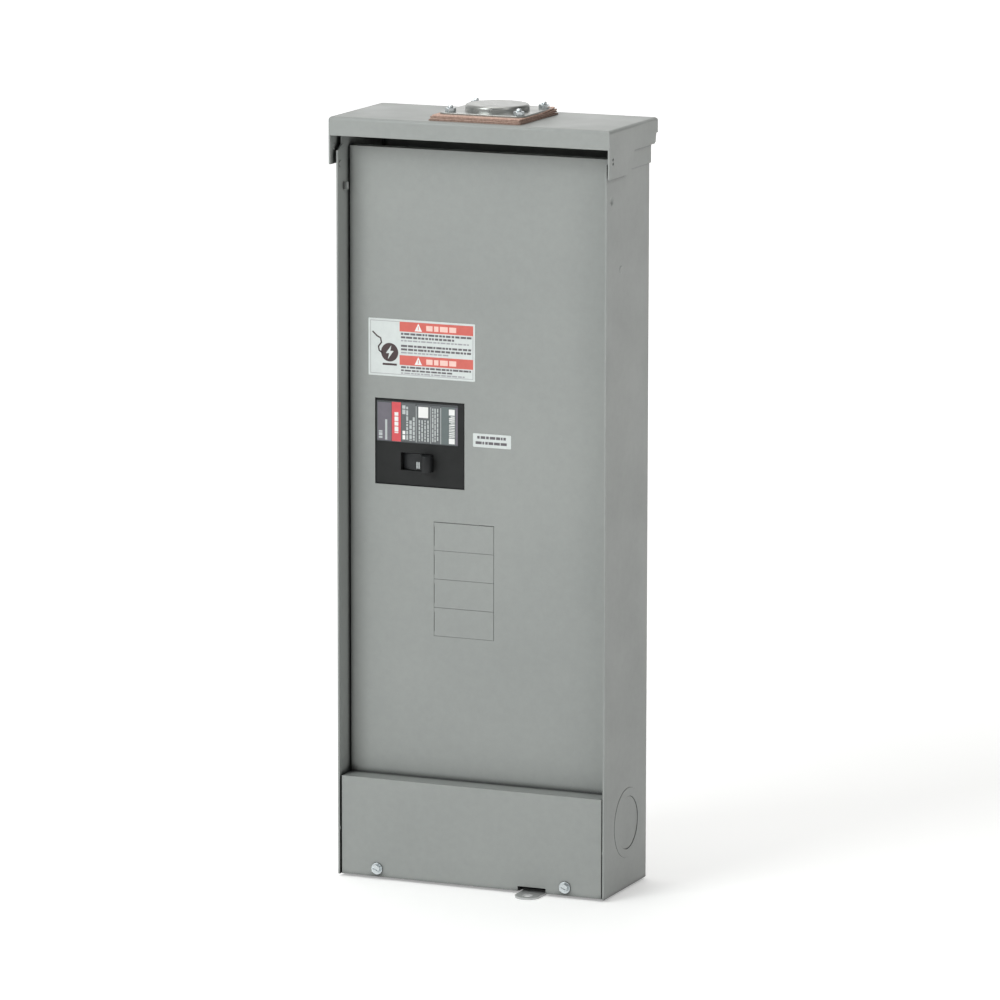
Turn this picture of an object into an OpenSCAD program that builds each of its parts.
// Outdoor surface-mounted load center: rain-hooded steel enclosure, recessed dead front,
// two-pole main breaker, four one-inch branch spaces and a feed-through bus.
// X runs across the front, +Z is up and the front faces -Y.
// The origin is the centre of the four wall-mounting holes, on the wall plane.

/* [Enclosure] */
// Outside width of the box
box_w = 253; // [245:1:265]
// Outside depth of the box, without the wall standoff
box_d = 99; // [96:1:104]
// Height of the side walls, from the bottom edge to the top end wall
wall_h = 670; // [664:1:690]
// Sheet thickness of the box, hood and end walls
sheet = 1.5; // [1.4:0.1:1.6]
// Air space behind the box made by the embossed feet
standoff = 7; // [6.4:0.1:9]

/* [Hood] */
// Outside width of the rain hood
hood_w = 262.4; // [261.6:0.2:264]
// How far the hood overhangs the front of the box
hood_overhang = 5.5; // [4:0.5:12]
// Height of the front lip
hood_lip = 16.5; // [14:0.5:20]
// How far the hinge tabs hang below the hood's top
tab_drop = 42; // [38:1:46]

/* [Dead front] */
// Sheet thickness of the dead front
cover_t = 1.2; // [1:0.1:1.5]
// Height of the ledge above the bottom edge
ledge_h = 88.8; // [80:0.2:95]
// Top edge of the recessed panel above the bottom edge
panel_top_h = 645; // [640:1:646]
// Recess of the upper panel behind the front of the box
recess = 22; // [20:0.5:24]

/* [Main breaker] */
// Width of the breaker's front boss
boss_w = 83.4; // [80:0.2:84]
// Height of the breaker's front boss
boss_h = 74.6; // [74:0.2:76]
// Handle travel from ON to OFF, in degrees
handle_throw = 36; // [30:1:38]

/* [Branch spaces] */
// Pitch of the branch spaces
pole_pitch = 25.4; // [25.4]
// Number of branch spaces
spaces = 4; // [4]
// Width of each twist-out
twist_w = 57; // [50:1:58]

/* [Mounting] */
// Horizontal spacing of the wall-mounting holes
mount_dx = 190; // [180:1:196]
// Vertical spacing of the wall-mounting holes
mount_dz = 560; // [540:1:570]
// Diameter of the wall-mounting holes
mount_hole_d = 7.2; // [6.4:0.1:8]
// Diameter of the padlock hasp hole
hasp_hole_d = 9.6; // [8:0.1:11]

/* [Hidden] */
$fn = 64;

base_z = -336;                          // bottom edge of the box below the origin
back_y = -standoff;                     // outer face of the back wall
front_y = back_y - box_d;               // front edges of the side walls
hood_top_h = wall_h + 2 * sheet + 0.02; // the hood's sheet lies on the top end wall
hood_front_y = front_y - hood_overhang;
hood_back_y = -0.5;
panel_y = front_y + recess;             // front face of the recessed panel
lower_y = front_y + 1.4;                // front face of the proud lower section
cover_back_y = panel_y + 12;            // rear edge of the dead front's flanges
cover_w = box_w - 2 * sheet - 3;        // dead front between the side walls, 1.5 mm each side
inner_x = box_w / 2 - sheet;
floor_y = back_y - sheet;               // inner face of the back wall
paint = [0.60, 0.62, 0.61];
zinc = [0.80, 0.81, 0.80];
alu = [0.77, 0.78, 0.79];
copper = [0.72, 0.45, 0.30];
black = [0.10, 0.11, 0.11];

hub_x = 3.5;
hub_y = -55;
hub_hole_r = 25;
gasket_w = 85.5;
gasket_d = 88;
gasket_x = 2.4;
gasket_y = -60.4;
gasket_layers = 3;
gasket_layer_t = 1.5;
plate_w = 79;
plate_d = 76;
plate_t = 1.5;
dome_r = 28;
dome_h = 7;
hub_bolt_x = 32;                        // hub bolts from the hub's centre, along X
hub_bolt_y = 28;                        // and along Y
gasket_t = gasket_layers * gasket_layer_t;

knock_y = -51.5;
knock_h = 58;
knock_outer_r = 31;
knock_inner_r = 23.4;
knock_gap = 0.08;                       // shear gap round each knockout

breaker_x = -57.4;                      // centre of the main breaker
breaker_h = 386.5;
cut_clear = 0.8;                        // dead front opening round the breaker's boss
boss_y = panel_y + 0.6;                 // face of the boss
shoulder_y = panel_y + 2.5;             // front of the breaker's body behind the dead front
case_split_y = -52;
case_back_y = -24;
case_w = 94;
case_low_h = 344;
case_top_h = 434;
tray_top_h = 466;                       // the base carries the line lugs on a tray above the case
case_wall = 3;
case_post = 6;                          // corner posts for the case's screws
pole_x = [breaker_x - 24, breaker_x + 24];
pivot_x = -60.2;                        // handle pivot, a vertical axis
pivot_y = -54;
handle_h = 369.7;
handle_t = 14.6;
skirt_r = 28.9;
on_angle = handle_throw / 2;            // the handle rests at ON, to the right
pin_r = 2;
pin_fit = 0.08;
arm_y = -40;                            // crossbar axis, along X
arm_h = 366;
arm_len = 38;
crossbar_r = 4.5;
contact_h = 400;

twist_x = -15.4;
twist_top_h = 318.3;
slit = 0.2;                             // between neighbouring twist-outs
side_slit = 0.35;
top_slit = 0.5;
stab_x = -44;
bus_y = -39;                            // front face of the bus bars
bus_t = 3;
bus_low_h = 168;
bus_top_h = 340;
pan_t = 1.5;
pan_y = floor_y - 4;                    // rear face of the interior pan
pan_front_y = pan_y - pan_t;

function z(h) = base_z + h;             // height above the bottom edge to the Z coordinate
function space_h(i) = twist_top_h - pole_pitch / 2 - i * pole_pitch;

// A box from its lowest to its highest corner, heights above the bottom edge
module span(x0, x1, y0, y1, h0, h1) {
  translate([x0, y0, z(h0)]) cube([x1 - x0, y1 - y0, h1 - h0]);
}

// A cylinder along Y whose front end is at y0, growing towards the wall
module round_y(x, y0, h, r, length) {
  translate([x, y0, z(h)]) rotate([-90, 0, 0]) cylinder(r = r, h = length);
}

// A cylinder along X from x0
module round_x(x0, y, h, r, length) {
  translate([x0, y, z(h)]) rotate([0, 90, 0]) cylinder(r = r, h = length);
}

// A cylinder along Z from height h
module round_z(x, y, h, r, length) {
  translate([x, y, z(h)]) cylinder(r = r, h = length);
}

// A rectangle with round corners, centred on X, from y0 to y1
module round_rect(w, y0, y1, r) {
  translate([-w / 2 + r, y0]) square([w - 2 * r, y1 - y0]);
  translate([-w / 2, y0 + r]) square([w, y1 - y0 - 2 * r]);
  for (x = [-w / 2 + r, w / 2 - r]) for (y = [y0 + r, y1 - r]) translate([x, y]) circle(r = r);
}

// Round-cornered plate, centred on x and y, lying flat on height h
module flat_plate(x, y, w, d, r, h, t) {
  translate([x, y, z(h)]) linear_extrude(t) round_rect(w, -d / 2, d / 2, r);
}

// ---------- Enclosure ----------

module wall_foot(x, h) {
  difference() {
    translate([x, back_y - sheet, z(h)]) rotate([-90, 0, 0])
      cylinder(r1 = 19, r2 = 13, h = standoff + sheet);
    translate([x, back_y - sheet - 0.01, z(h)]) rotate([-90, 0, 0])
      cylinder(r1 = 17.4, r2 = 11.4, h = standoff);
    round_y(x, back_y - 5, h, mount_hole_d / 2, 20);
  }
}

module mount_points() {
  for (x = [-mount_dx / 2, mount_dx / 2]) for (h = [-mount_dz / 2, mount_dz / 2])
    translate([x, 0, h]) children();
}

module enclosure_box() {
  notch_h = 647.6;
  color(paint) {
    difference() {
      // Back and both side walls, folded from one sheet
      translate([0, 0, z(0)]) linear_extrude(wall_h) difference() {
        union() {
          round_rect(box_w, back_y - 12, back_y, 1.5);
          translate([-box_w / 2, front_y]) square([box_w, box_d - 6]);
        }
        union() {
          round_rect(box_w - 2 * sheet, back_y - sheet - 12, back_y - sheet, 0.5);
          translate([-inner_x, front_y - 1]) square([2 * inner_x, box_d - 6]);
        }
      }
      // The front corners are cut back where they pass under the hood
      for (s = [-1, 1]) translate([s * inner_x, 0, 0]) rotate([90, 0, 90])
        translate([0, 0, -4]) linear_extrude(8)
          polygon([[front_y - 1, z(643)], [front_y + 3, z(643)], [front_y + 9.5, z(notch_h)],
            [front_y + 9.5, z(wall_h + 1)], [front_y - 1, z(wall_h + 1)]]);
      for (s = [-1, 1]) round_x(s * inner_x - 4, knock_y, knock_h, knock_outer_r, 8);
      mount_points() translate([0, back_y + 1, 0]) rotate([90, 0, 0]) cylinder(r = 18, h = 4);
      // The press leaves a dimple outside, behind each lanced tab
      for (s = [-1, 1]) translate([s * (box_w / 2 - 1.1), front_y + 11.5, z(611)])
        rotate([0, s * 90, 0]) cylinder(r1 = 1, r2 = 4.4, h = 1.2);
    }
    mount_points() wall_foot(0, -base_z);
    // Lanced tab near the top, two dimples and a shallow outward emboss on each side wall
    for (s = [-1, 1]) translate([s * inner_x, 0, 0]) {
      translate([s * -2.2, front_y + 12, z(611)]) cube([4.6, 1.5, 6.5], center = true);
      round_x(-0.6, front_y + 2.6, 41.6, 2.2, 1.2);
      round_x(-0.9, front_y + 5, 631, 2.8, 1.8);
      translate([s * (sheet - 0.2), -73, z(549)]) rotate([0, s * 90, 0]) cylinder(r1 = 4, r2 = 2.6, h = 0.6);
    }
  }
}

// Tray-shaped end wall flanges down both sides of the box
module top_end_wall() {
  flange_h = 36;
  w = box_w + 2 * sheet;
  color(paint) difference() {
    union() {
      span(-w / 2, w / 2, front_y + 2, back_y, wall_h, wall_h + sheet);
      for (s = [-1, 1])
        translate([s * (box_w + sheet) / 2, 0, 0])
          span(-sheet / 2, sheet / 2, front_y + 12, back_y - 1, wall_h - flange_h, wall_h + 0.1);
      span(-inner_x + 2, inner_x - 2, floor_y - sheet, floor_y, wall_h - 14, wall_h + 0.1);
    }
    round_z(hub_x, hub_y, wall_h - 1, hub_hole_r, 4);
    hub_bolts() round_z(0, 0, wall_h - 1, 2.6, 4);
  }
}

module hub_bolts() {
  for (dx = [-hub_bolt_x, hub_bolt_x]) for (dy = [-hub_bolt_y, hub_bolt_y])
    translate([hub_x + dx, hub_y + dy, 0]) children();
}

// The hood's outline from the side: lips at front and back joined by the top
module hood_side(inset) {
  r = 3 - inset * 0.6;
  rotate([90, 0, 90]) linear_extrude(hood_w - 2 * inset, center = true) {
    a = hood_front_y + inset;
    b = hood_back_y - inset;
    top = z(hood_top_h - inset);
    translate([a, z(600)]) square([b - a, top - r - z(600)]);
    translate([a + r, z(600)]) square([b - a - 2 * r, top - z(600)]);
    for (y = [a + r, b - r]) translate([y, top - r]) circle(r = r);
  }
}

// The hood's outline from the front
module hood_front(inset) {
  r = 3 - inset * 0.6;
  w = hood_w - 2 * inset;
  top = z(hood_top_h - inset);
  translate([0, 5, 0]) rotate([90, 0, 0]) linear_extrude(130) {
    translate([-w / 2, z(600)]) square([w, top - r - z(600)]);
    translate([-w / 2 + r, z(600)]) square([w - 2 * r, top - z(600)]);
    for (x = [-w / 2 + r, w / 2 - r]) translate([x, top - r]) circle(r = r);
  }
}

module rain_hood() {
  lip_h = hood_top_h - hood_lip;
  tab_h = hood_top_h - tab_drop;
  side_h = hood_top_h - 22.5;
  y0 = hood_front_y;
  color(paint) difference() {
    intersection() { hood_side(0); hood_front(0); }
    intersection() { hood_side(sheet); hood_front(sheet); }
    // Everything below the front lip, between the two side flanges
    span(-hood_w / 2 + sheet, hood_w / 2 - sheet, y0 - 1, y0 + 3, 590, lip_h);
    span(-hood_w / 2 + sheet, hood_w / 2 - sheet, -4, 2, 590, hood_top_h - 13.3);
    // Side flange outline: hinge tab in front, shallow flange behind
    for (s = [-1, 1]) translate([s * (hood_w / 2 - sheet), 0, 0]) rotate([90, 0, 90])
      translate([0, 0, -6]) linear_extrude(12)
        polygon([[y0 - 2, z(590)], [y0 - 2, z(tab_h)], [-62.5, z(tab_h)], [-55, z(side_h - 1)],
          [-54, z(side_h)], [-15, z(side_h)], [-8, z(side_h)], [-5.5, z(side_h + 1.5)],
          [-4.4, z(side_h + 8)], [-3.5, z(hood_top_h - 13.3)], [2, z(hood_top_h - 13.3)], [2, z(590)]]);
    // Pivot and keeper holes of the hinge tabs
    for (h = [647.6, 643.9]) round_x(-hood_w, front_y + 2.8, h, 1.4, 2 * hood_w);
    round_z(hub_x, hub_y, hood_top_h - 4, hub_hole_r, 6);
    hub_bolts() round_z(0, 0, hood_top_h - 4, 2.6, 6);
  }
}

module bottom_end_wall() {
  w = 2 * inner_x;
  front = lower_y + 3;
  color(paint) difference() {
    union() {
      span(-w / 2, w / 2, front, floor_y, 0, sheet);
      span(-w / 2 + 4, w / 2 - 4, front, front + sheet, 0, 15);
      span(-w / 2 + 4, w / 2 - 4, floor_y - sheet, floor_y, 0, 12);
      for (s = [-1, 1]) translate([s * (w - sheet) / 2, 0, 0])
        span(-sheet / 2, sheet / 2, cover_back_y + 6, floor_y - 3, 0, 12);
    }
    for (s = [-1, 1]) round_y(s * 89.5, front - 1, 7.8, 2.5, 4);
    for (k = bottom_knock_list) round_z(k[0], k[1], -1, k[2], 4);
    span(hasp_x - 12.6, hasp_x + 12.6, front - 1, lower_y + 8, -1, 5);
    for (s = [-1, 1]) translate([s * w / 2, 0, 0]) span(-1.5, 1.5, floor_y - 1.5, floor_y + 1, -1, 13);
  }
}

// Bottom knockouts: x, y and radius
bottom_knock_list = [[0, -50, 31], [-62, -50, 22], [62, -50, 22], [-100, -42, 11.1], [100, -42, 11.1]];
hasp_x = 58;
hasp_w = 22.4;
hasp_t = 2;
hasp_center_y = lower_y - 8.6;

// Flat tab fixed under the bottom wall, with a round end in front of the dead front
module padlock_hasp() {
  color(zinc) difference() {
    union() {
      span(hasp_x - hasp_w / 2, hasp_x + hasp_w / 2, hasp_center_y, lower_y + 28, -hasp_t, 0);
      round_z(hasp_x, hasp_center_y, -hasp_t, hasp_w / 2, hasp_t);
    }
    round_z(hasp_x, hasp_center_y - 1.2, -hasp_t - 1, hasp_hole_d / 2, hasp_t + 2);
  }
}

module side_knockouts() {
  // Pressed slightly inwards, as a half-sheared knockout is
  color(paint) for (s = [-1, 1]) translate([s * (inner_x + 0.35 * s * s) - (s > 0 ? 0 : sheet), 0, 0]) {
    difference() {
      round_x(0, knock_y, knock_h, knock_outer_r - knock_gap, sheet);
      round_x(-1, knock_y, knock_h, knock_inner_r, sheet + 2);
    }
    round_x(s * -0.5, knock_y, knock_h, knock_inner_r - knock_gap, sheet);
  }
}

module bottom_knockouts() {
  color(paint) for (k = bottom_knock_list) {
    if (k[2] > 15) {
      difference() {
        round_z(k[0], k[1], 0, k[2] - knock_gap, sheet);
        round_z(k[0], k[1], -1, k[2] * 0.7, sheet + 2);
      }
      round_z(k[0], k[1], 0.4, k[2] * 0.7 - knock_gap, sheet);
    }
    if (k[2] < 15) round_z(k[0], k[1], 0.4, k[2] - knock_gap, sheet);
  }
}

// ---------- Hub closure ----------

module hub_gasket() {
  color([0.66, 0.50, 0.43]) for (i = [0 : gasket_layers - 1]) {
    grow = [0, -2, -0.8][i];
    difference() {
      flat_plate(gasket_x, gasket_y, gasket_w + grow, gasket_d + grow, 1.5,
        hood_top_h + i * gasket_layer_t, gasket_layer_t);
      round_z(hub_x, hub_y, hood_top_h - 1, hub_hole_r + 1, gasket_t + 2);
      hub_bolts() round_z(0, 0, hood_top_h - 1, 2.8, gasket_t + 2);
    }
  }
}

module hub_closure_plate() {
  plate_h = hood_top_h + gasket_t;
  color(zinc) {
    difference() {
      flat_plate(hub_x, hub_y, plate_w, plate_d, 6, plate_h, plate_t);
      round_z(hub_x, hub_y, plate_h - 1, dome_r - 0.5, 4);
      hub_bolts() round_z(0, 0, plate_h - 1, 2.6, 4);
    }
    // Pressed cap, hollow underneath
    translate([hub_x, hub_y, z(plate_h)]) rotate_extrude($fn = 96) difference() {
      cap_profile(dome_r, dome_h, 2.6);
      translate([0, -plate_t]) cap_profile(dome_r - plate_t, dome_h, 1.4);
    }
  }
}

// Half section of the cap: upright side, round shoulder, nearly flat crown
module cap_profile(r, h, shoulder) {
  square([r, h - shoulder]);
  square([r - shoulder, h]);
  translate([r - shoulder, h - shoulder]) circle(r = shoulder, $fn = 32);
}

module hub_screws() {
  color(zinc) hub_bolts() {
    round_z(0, 0, wall_h - 3, 4.6, 3);
    round_z(0, 0, wall_h - 0.5, 2.4, hood_top_h - wall_h + gasket_t + plate_t + 6);
  }
}

module hub_nuts() {
  color(zinc) hub_bolts() difference() {
    translate([0, 0, z(hood_top_h + gasket_t + plate_t)]) cylinder(r = 4.9, h = 3.2, $fn = 6);
    round_z(0, 0, hood_top_h, 2.4, 20);
  }
}

// ---------- Dead front ----------

// Filled side outline of the dead front, inset by t from the front faces, top and ledge
module cover_outline(t) {
  polygon([[panel_y + t, z(panel_top_h - t)], [panel_y + t, z(ledge_h - t)],
    [lower_y + t, z(ledge_h - t)], [lower_y + t, z(0.4) - t], [cover_back_y + t, z(0.4) - t],
    [cover_back_y + t, z(panel_top_h - t)]]);
}

module deadfront_cover() {
  color(paint) difference() {
    rotate([90, 0, 90]) linear_extrude(cover_w, center = true) cover_outline(0);
    rotate([90, 0, 90]) linear_extrude(cover_w - 2 * cover_t, center = true) cover_outline(cover_t);
    // Opening for the main breaker
    span(breaker_x - boss_w / 2 - cut_clear, breaker_x + boss_w / 2 + cut_clear, panel_y - 2, panel_y + 4,
      breaker_h - boss_h / 2 - cut_clear, breaker_h + boss_h / 2 + cut_clear);
    // One opening for the column of twist-outs
    span(twist_x - twist_w / 2, twist_x + twist_w / 2, panel_y - 2, panel_y + 4,
      twist_top_h - spaces * pole_pitch, twist_top_h);
    // Notch over the padlock hasp
    span(hasp_x - 13.2, hasp_x + 13.2, lower_y - 2, lower_y + 4, -3, 4.8);
    for (s = [-1, 1]) round_y(s * 89.5, lower_y - 2, 7.8, 2.6, 5);
    // The side flanges stop short of the bottom wall
    span(-cover_w, cover_w, lower_y + 2.5, cover_back_y + 5, -3, 2.5);
  }
}

// Each fills one pole pitch and is tied to the panel at the ends of its left edge
module twist_outs() {
  x0 = twist_x - twist_w / 2;
  y0 = panel_y + 0.15;
  color(paint) for (i = [0 : spaces - 1]) {
    low = space_h(i) - pole_pitch / 2 + slit / 2;
    top = space_h(i) + pole_pitch / 2 - (i == 0 ? top_slit : slit / 2);
    span(x0 + side_slit, x0 + twist_w - side_slit, y0, y0 + cover_t, low, top);
    for (h = [low, top - 4]) span(x0 + 0.02, x0 + 1, y0, y0 + cover_t, h, h + 4);
  }
}

// Hex washer head screws with a slot
module deadfront_screws() {
  color(zinc) for (s = [-1, 1]) difference() {
    union() {
      round_y(s * 89.5, lower_y - 1.2, 7.8, 5.2, 1.2);
      translate([s * 89.5, lower_y - 1.2, z(7.8)]) rotate([90, 30, 0])
        cylinder(r = 4.2, h = 3, $fn = 6);
      round_y(s * 89.5, lower_y - 1, 7.8, 2.1, 13);
    }
    translate([s * 89.5, lower_y - 4.2, z(7.8)]) rotate([0, 24, 0]) cube([12, 2, 1.1], center = true);
  }
}

module danger_label() {
  color([0.95, 0.95, 0.94]) span(-106, -4.8, panel_y - 0.2, panel_y, 444.4, 494.9);
}

module service_label() {
  color([0.95, 0.95, 0.94]) span(-6.7, 29.2, panel_y - 0.2, panel_y, 387.3, 399.4);
}

// ---------- Interior pan and bus ----------

module interior_pan() {
  x0 = -114;
  x1 = 96;
  h0 = 152;
  h1 = 488;
  color([0.72, 0.73, 0.72]) difference() {
    union() {
      span(x0, x1, pan_front_y, pan_y, h0, h1);
      for (x = [x0, x1 - pan_t]) span(x, x + pan_t, pan_y - 9, pan_y, h0, h1);
      for (x = [x0 + 10, x1 - 10]) for (h = [h0 + 10, h1 - 10]) round_y(x, pan_y - 1, h, 7, 5);
    }
    for (x = [x0 + 10, x1 - 10]) for (h = [h0 + 10, h1 - 10]) round_y(x, pan_y - 9, h, 2.6, 14);
  }
}

module pan_screws() {
  color(zinc) for (x = [-104, 86]) for (h = [162, 478]) {
    round_y(x, pan_front_y - 2.4, h, 5, 2.4);
    round_y(x, pan_front_y - 0.1, h, 2.5, pan_t + 4.1);
  }
}

module bus_support() {
  color([0.15, 0.13, 0.12]) difference() {
    union() {
      span(-72, -16, bus_y + bus_t, pan_front_y, 196, 322);
      // Barriers between the stabs
      for (i = [0 : spaces]) span(-70, -18, bus_y - 6, bus_y + bus_t + 1,
        space_h(0) + pole_pitch / 2 - i * pole_pitch - 1, space_h(0) + pole_pitch / 2 - i * pole_pitch + 1);
    }
    for (i = [0 : 3]) span(-68, -20, pan_front_y - 14, pan_front_y + 1, 202 + i * 30, 226 + i * 30);
    bus_clearance();
  }
}

// The bars lie in shallow channels between the barriers
module bus_clearance() {
  span(-66.2, -51.8, bus_y - 0.2, bus_y + bus_t, 150, 345);
  span(-36.2, -21.8, bus_y - 0.2, bus_y + bus_t, 150, 345);
}

module stab(i) {
  span(stab_x - 7, stab_x + 7, bus_y - 15, bus_y + 0.5, space_h(i) - 1.2, space_h(i) + 1.2);
}

module left_bus_bar() {
  color(alu) difference() {
    union() {
      span(-66, -52, bus_y, bus_y + bus_t, bus_low_h, bus_top_h);
      span(pole_x[0] - 7, -52, bus_y, bus_y + bus_t, bus_top_h - 16, bus_top_h);
      for (i = [0 : 2 : spaces - 1]) {
        span(-53, stab_x + 7, bus_y, bus_y + bus_t, space_h(i) - 7, space_h(i) + 7);
        stab(i);
      }
      span(-74, -50, bus_y, bus_y + bus_t, bus_low_h, bus_low_h + 26);
    }
    round_y(pole_x[0], bus_y - 1, bus_top_h - 8, 3.3, 5);
    round_y(-62, bus_y - 1, bus_low_h + 13, 3.3, 5);
  }
}

module right_bus_bar() {
  color(alu) difference() {
    union() {
      span(-36, -22, bus_y, bus_y + bus_t, bus_low_h, bus_top_h);
      span(pole_x[1] - 7, -22, bus_y, bus_y + bus_t, bus_top_h - 16, bus_top_h);
      for (i = [1 : 2 : spaces - 1]) {
        span(stab_x - 7, -35, bus_y, bus_y + bus_t, space_h(i) - 7, space_h(i) + 7);
        stab(i);
      }
      span(-38, -14, bus_y, bus_y + bus_t, bus_low_h, bus_low_h + 26);
    }
    round_y(pole_x[1], bus_y - 1, bus_top_h - 8, 3.3, 5);
    round_y(-26, bus_y - 1, bus_low_h + 13, 3.3, 5);
  }
}

module bus_bolts() {
  color(zinc) {
    for (x = pole_x) {
      translate([x, bus_y - 3, z(bus_top_h - 8)]) rotate([90, 0, 0]) cylinder(r = 6, h = 4.2, $fn = 6);
      round_y(x, bus_y - 3.1, bus_top_h - 8, 3.2, 10);
    }
    for (x = [-62, -26]) {
      translate([x, bus_y + bus_t + 3.6, z(bus_low_h + 13)]) rotate([90, 0, 0])
        cylinder(r = 6, h = 3.6, $fn = 6);
      round_y(x, bus_y - 2.9, bus_low_h + 13, 3.2, bus_t + 6.3);
    }
  }
}

// Steel rail that the far ends of the branch breakers hook under
module breaker_rail() {
  h0 = 202;
  h1 = 328;
  color([0.72, 0.73, 0.72]) difference() {
    union() {
      span(20, 36, pan_front_y - 1.5, pan_front_y, h0, h1);
      span(20, 21.5, -40, pan_front_y, h0, h1);
      span(20, 27, -40, -38.5, h0, h1);
    }
    for (i = [0 : spaces]) span(19, 30, -42, -34,
      space_h(0) + (0.5 - i) * pole_pitch - 3, space_h(0) + (0.5 - i) * pole_pitch + 3);
  }
}

// ---------- Main breaker ----------

module main_breaker_base() {
  x0 = breaker_x - case_w / 2;
  x1 = breaker_x + case_w / 2;
  color(black) difference() {
    union() {
      difference() {
        span(x0, x1, case_split_y, pan_front_y - 2, case_low_h, tray_top_h);
        // Mechanism compartment
        span(x0 + case_wall, x1 - case_wall, case_split_y - 1, case_back_y - 4,
          case_low_h + case_wall, case_top_h - case_wall);
      }
      case_posts(case_split_y, case_back_y - 3);
    }
    case_screw_points() round_y(0, case_split_y - 1, 0, 1.25, 14);
    // Two lug bays, open to the front and the top
    for (x = pole_x) span(x - 13.5, x + 13.5, case_split_y - 1, case_back_y - 4,
      case_top_h + 2, tray_top_h + 1);
    // Channels for the fixed contacts and for the load straps
    for (x = pole_x) {
      span(x - 5.2, x + 5.2, -31.4, case_back_y - 4, case_top_h - 8, case_top_h + 8);
      span(x - 6.2, x + 6.2, -39.2, -35.4, case_low_h - 1, case_low_h + 8);
    }
    // Crossbar bearings
    round_x(x0 + 1, arm_y, arm_h, crossbar_r + 0.1, case_w - 2);
    // Weight-saving pockets in the back
    for (x = pole_x) span(x - 17, x + 17, case_back_y - 0.5, pan_front_y, case_low_h + 8, tray_top_h - 8);
  }
}

module main_breaker_cover() {
  x0 = breaker_x - case_w / 2;
  x1 = breaker_x + case_w / 2;
  slot_w = 31;
  color(black) difference() {
    union() {
      difference() {
        union() {
          span(x0, x1, shoulder_y, case_split_y, case_low_h, case_top_h);
          translate([breaker_x, 0, z(breaker_h)]) rotate([90, 0, 0])
            translate([0, 0, -shoulder_y - 1]) linear_extrude(shoulder_y - boss_y + 1)
              round_rect(boss_w, -boss_h / 2, boss_h / 2, 1);
        }
        span(x0 + case_wall, x1 - case_wall, shoulder_y + 2.5, case_split_y + 1,
          case_low_h + case_wall, case_top_h - case_wall);
      }
      case_posts(shoulder_y + 1, case_split_y);
      // Posts that carry the handle's pin
      for (h = [handle_h - handle_t / 2 - 7.5, handle_h + handle_t / 2 + 0.5])
        span(pivot_x - 6, pivot_x + 6, shoulder_y + 1, pivot_y + 4, h, h + 7);
    }
    // Handle slot
    span(pivot_x - slot_w / 2, pivot_x + slot_w / 2, boss_y - 1, shoulder_y + 4,
      handle_h - handle_t / 2 - 0.5, handle_h + handle_t / 2 + 0.5);
    round_z(pivot_x, pivot_y, handle_h - handle_t / 2 - 0.5, skirt_r + 0.5, handle_t + 1);
    round_z(pivot_x, pivot_y, handle_h - handle_t / 2 - 5.03, pin_r + 0.03, handle_t + 10.06);
    // Shallow seat for the rating label
    span(breaker_x - 41.6, breaker_x + 36.4, boss_y - 1, boss_y + 0.3, 386, 422.6);
    case_screw_points() round_y(0, shoulder_y - 1, 0, 1.3, 40);
    case_screw_points() round_y(0, shoulder_y - 1, 0, 2.4, 3.2);
  }
}

module case_screw_points() {
  for (s = [-1, 1]) for (h = [case_low_h + case_post / 2, case_top_h - case_post / 2])
    translate([breaker_x + s * (case_w - case_post) / 2, 0, h]) children();
}

module case_posts(y0, y1) {
  case_screw_points() span(-case_post / 2, case_post / 2, y0, y1, -case_post / 2, case_post / 2);
}

// Long screws down the case's corners, hidden behind the dead front
module breaker_cover_screws() {
  color([0.35, 0.35, 0.36]) case_screw_points() difference() {
    union() {
      round_y(0, shoulder_y + 0.2, 0, 2.2, 2);
      round_y(0, shoulder_y + 2, 0, 1.2, 38);
    }
    translate([0, shoulder_y + 0.4, z(0)]) rotate([0, 30, 0]) cube([7, 1.4, 0.8], center = true);
  }
}

module main_breaker_label() {
  color([0.25, 0.26, 0.27]) span(breaker_x - 41.2, breaker_x + 36, boss_y + 0.05, boss_y + 0.3, 386.4, 422.2);
}

// Paddle, curved skirt that always fills the slot, and hub, turned to ON
module main_breaker_handle() {
  h0 = handle_h - handle_t / 2;
  color(black) translate([pivot_x, pivot_y, z(h0)]) rotate([0, 0, on_angle]) difference() {
    union() {
      cylinder(r = 8, h = handle_t);
      difference() {
        cylinder(r = skirt_r, h = handle_t);
        translate([0, 0, -1]) cylinder(r = skirt_r - 2, h = handle_t + 2);
        translate([-40, -14, -1]) cube([80, 60, handle_t + 2]);
      }
      translate([-3, -skirt_r + 1, 0]) cube([6, skirt_r - 2, handle_t]);
      translate([-5.2, -36.5, 0]) cube([10.4, 11, handle_t]);
      translate([0, -36.5, 0]) cylinder(r = 5.2, h = handle_t);
    }
    translate([0, 0, -1]) cylinder(r = pin_r + pin_fit, h = handle_t + 2);
    // Finger grooves
    for (s = [-1, 1]) translate([s * 8.6, -36.5, -1]) cylinder(r = 4.6, h = handle_t + 2);
  }
}

module handle_pin() {
  color(zinc) round_z(pivot_x, pivot_y, handle_h - handle_t / 2 - 5, pin_r, handle_t + 10);
}

module contact_crossbar() {
  x0 = breaker_x - case_w / 2 + 1.4;
  color([0.35, 0.12, 0.08]) difference() {
    round_x(x0, arm_y, arm_h, crossbar_r, case_w - 2.8);
    for (x = pole_x) span(x - 4, x + 4, arm_y - 2, arm_y + 2, arm_h - 8, arm_h + 8);
  }
}

module contact_arms() {
  color(copper) for (x = pole_x) {
    span(x - 4, x + 4, arm_y - 2, arm_y + 2, arm_h - 4, arm_h + arm_len);
    round_y(x, arm_y + 1.9, contact_h, 3.6, 4.4);
  }
}

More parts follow.
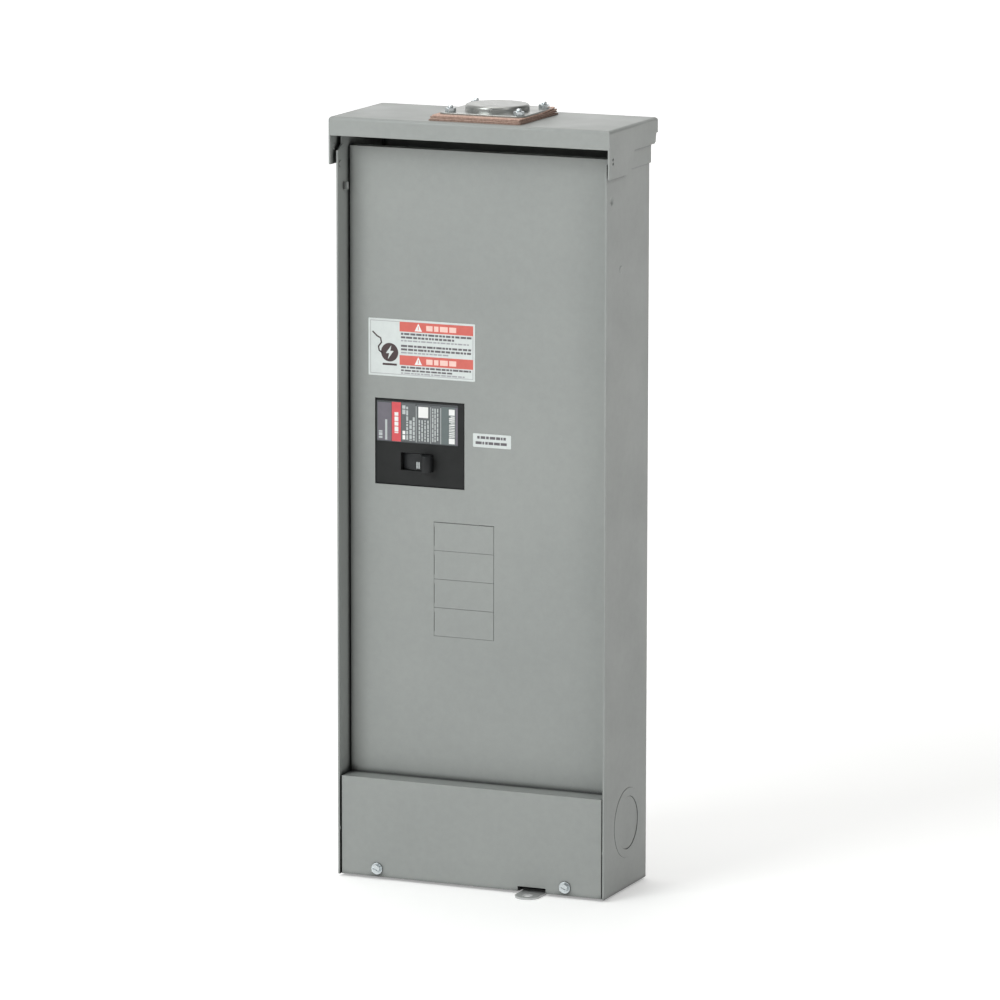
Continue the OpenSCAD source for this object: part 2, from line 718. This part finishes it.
module fixed_contacts() {
  pad_y = -33.5;
  color(copper) for (x = pole_x) {
    span(x - 5, x + 5, -31, case_back_y - 4, 393, tray_top_h - 4);
    round_y(x, pad_y + 0.1, contact_h, 4, 3);
  }
}

module arc_chutes() {
  plates = 6;
  color(zinc) for (x = pole_x) {
    for (i = [0 : plates - 1]) difference() {
      span(x - 9, x + 9, -34 - i * 3 - 1.2, -34 - i * 3, 409, 429);
      translate([x, -60, z(409)]) rotate([-90, 0, 0]) cylinder(r = 4, h = 40);
    }
    for (s = [-1, 1]) translate([x + s * 9.6, 0, 0]) span(-0.6, 0.6, -52, -32, 408, 430);
  }
}

// Braids from the arms' pivots to the load straps
module flexible_shunts() {
  color(copper) for (x = pole_x) {
    difference() {
      round_x(x - 3, -44.5, 357.2, 3.6, 6);
      round_x(x - 4, -44.5, 357.2, 2.2, 8);
      span(x - 5, x + 5, -44.5, -38, 350, 362);
    }
    span(x - 3, x + 3, -44.5, -42.6, 359.4, 360.8);
    span(x - 3, x + 3, -44.5, -38.6, 353.6, 355);
  }
}

module bimetal_strips() {
  color([0.65, 0.6, 0.5]) for (x = [pole_x[0] - 12, pole_x[1] + 11]) {
    span(x, x + 1.2, -66, -58, 352, 398);
    span(x, x + 5, -66, -58, 350.6, 352);
  }
}

module load_straps() {
  color(copper) for (x = pole_x) difference() {
    union() {
      span(x - 6, x + 6, bus_y - 3, bus_y, bus_top_h - 16, case_low_h - 0.5);
      span(x - 6, x + 6, bus_y + 0.4, bus_y + 3.2, bus_top_h + 0.2, case_low_h + 12);
      span(x - 6, x + 6, bus_y - 3, bus_y + 3.2, bus_top_h + 0.2, case_low_h - 0.5);
    }
    round_y(x, bus_y - 4, bus_top_h - 8, 3.3, 8);
  }
}

// ---------- Lugs ----------

// A wire-clamping lug: wire bore along Z, set screw bore from the front
module lug_block(x, y_back, h, w, d, wire_r, screw_r) {
  difference() {
    span(x - w / 2, x + w / 2, y_back - d, y_back, h, h + 24);
    round_z(x, y_back - wire_r - 3, h - 1, wire_r, 26);
    round_y(x, y_back - d - 1, h + 12, screw_r, d - wire_r - 2);
  }
}

// Set screw with a hexagon socket
module lug_screw(x, y_front, h, r, length) {
  difference() {
    round_y(x, y_front, h, r, length);
    translate([x, y_front - 1, z(h)]) rotate([-90, 0, 0]) cylinder(r = r * 0.6, h = 6, $fn = 6);
  }
}

module line_lugs() {
  color(alu) for (x = pole_x) lug_block(x, -31, case_top_h + 5, 24, 27, 8.5, 6.5);
}

module line_lug_screws() {
  color(zinc) for (x = pole_x) lug_screw(x, -61.5, case_top_h + 17, 6.3, 10);
}

module feed_through_lugs() {
  color(alu) for (x = [-62, -26]) difference() {
    lug_block(x, bus_y, bus_low_h + 1, 22, 27, 8.5, 6.5);
    round_y(x, bus_y - 5, bus_low_h + 13, 3.3, 6);
  }
}

module feed_lug_screws() {
  color(zinc) for (x = [-62, -26]) lug_screw(x, bus_y - 30.5, bus_low_h + 13, 6.3, 10);
}

// ---------- Neutral and ground ----------

neutral_x = 68;
neutral_low_h = 214;
neutral_high_h = 424;
neutral_y = -42;
neutral_ways = 18;
neutral_pitch = 11;

module neutral_bar() {
  color(alu) difference() {
    span(neutral_x, neutral_x + 12, neutral_y, neutral_y + 11, neutral_low_h, neutral_high_h);
    for (i = [0 : neutral_ways - 1]) {
      h = neutral_low_h + 11.5 + i * neutral_pitch;
      round_x(neutral_x - 1, neutral_y + 6.2, h, 2.8, 14);
      round_y(neutral_x + 6, neutral_y - 1, h, 2.4, 5.5);
    }
  }
}

module neutral_insulators() {
  color([0.86, 0.85, 0.8]) for (h = [neutral_low_h + 24, neutral_high_h - 34]) {
    span(neutral_x - 3, neutral_x + 15, neutral_y + 11, pan_front_y, h, h + 16);
    for (x = [neutral_x - 3, neutral_x + 12.2])
      span(x, x + 2.8, neutral_y + 6.4, neutral_y + 11.5, h + 12.4, h + 16);
  }
}

module neutral_bar_screws() {
  color(zinc) for (i = [0 : neutral_ways - 1]) {
    h = neutral_low_h + 11.5 + i * neutral_pitch;
    difference() {
      union() {
        round_y(neutral_x + 6, neutral_y - 3.4, h, 3.6, 2.4);
        round_y(neutral_x + 6, neutral_y - 1.2, h, 2.3, 5);
      }
      translate([neutral_x + 6, neutral_y - 3.4, z(h)]) rotate([0, 15 * i, 0])
        cube([8, 1.8, 1], center = true);
    }
  }
}

module main_neutral_lug() {
  color(alu) {
    lug_block(neutral_x + 6, neutral_y + 11, neutral_high_h + 3, 24, 27, 8.5, 6.5);
    span(neutral_x, neutral_x + 12, neutral_y + 8, neutral_y + 11, neutral_high_h, neutral_high_h + 3);
  }
}

module neutral_lug_screw() {
  color(zinc) lug_screw(neutral_x + 6, neutral_y - 19.5, neutral_high_h + 15, 6.3, 10);
}

// Joins the neutral bar to the enclosure at the service
module bonding_strap() {
  h = neutral_low_h - 14;
  color(copper) difference() {
    union() {
      span(neutral_x, neutral_x + 12, neutral_y + 9.5, neutral_y + 11, h + 6, neutral_low_h);
      span(neutral_x, neutral_x + 12, neutral_y + 9.5, pan_front_y, h + 4.5, h + 6);
      span(neutral_x, neutral_x + 12, pan_front_y - 1.5, pan_front_y, h - 10, h + 6);
    }
    round_y(neutral_x + 6, pan_front_y - 3, h - 4, 2.5, 5);
  }
}

module bonding_screw() {
  h = neutral_low_h - 18;
  color([0.2, 0.5, 0.25]) difference() {
    union() {
      round_y(neutral_x + 6, pan_front_y - 4.5, h, 4.4, 3);
      round_y(neutral_x + 6, pan_front_y - 2, h, 2.4, 2);
    }
    translate([neutral_x + 6, pan_front_y - 4.5, z(h)]) cube([10, 1.8, 1.1], center = true);
  }
}

ground_x = 44;
ground_ways = 8;

module ground_bar() {
  color(alu) difference() {
    union() {
      span(ground_x, ground_x + 10, floor_y - 11, floor_y - 3, 44, 140);
      for (h = [46, 130]) span(ground_x, ground_x + 10, floor_y - 4, floor_y, h, h + 8);
    }
    for (i = [0 : ground_ways - 1]) {
      round_x(ground_x - 1, floor_y - 6.2, 59 + i * 9.4, 2.3, 12);
      round_y(ground_x + 5, floor_y - 12, 59 + i * 9.4, 2, 5);
    }
  }
}

module ground_bar_screws() {
  color([0.2, 0.5, 0.25]) for (i = [0 : ground_ways - 1]) difference() {
    union() {
      round_y(ground_x + 5, floor_y - 13.8, 59 + i * 9.4, 3.3, 2);
      round_y(ground_x + 5, floor_y - 12, 59 + i * 9.4, 1.9, 4);
    }
    translate([ground_x + 5, floor_y - 13.8, z(59 + i * 9.4)]) rotate([0, 20 * i, 0])
      cube([7, 1.6, 0.9], center = true);
  }
}

enclosure_box();
top_end_wall();
rain_hood();
bottom_end_wall();
padlock_hasp();
side_knockouts();
bottom_knockouts();
hub_gasket();
hub_closure_plate();
hub_screws();
hub_nuts();
deadfront_cover();
twist_outs();
deadfront_screws();
danger_label();
service_label();
interior_pan();
pan_screws();
bus_support();
left_bus_bar();
right_bus_bar();
bus_bolts();
breaker_rail();
main_breaker_base();
main_breaker_cover();
breaker_cover_screws();
main_breaker_label();
main_breaker_handle();
handle_pin();
contact_crossbar();
contact_arms();
fixed_contacts();
arc_chutes();
flexible_shunts();
bimetal_strips();
load_straps();
line_lugs();
line_lug_screws();
feed_through_lugs();
feed_lug_screws();
neutral_bar();
neutral_insulators();
neutral_bar_screws();
main_neutral_lug();
neutral_lug_screw();
bonding_strap();
bonding_screw();
ground_bar();
ground_bar_screws();
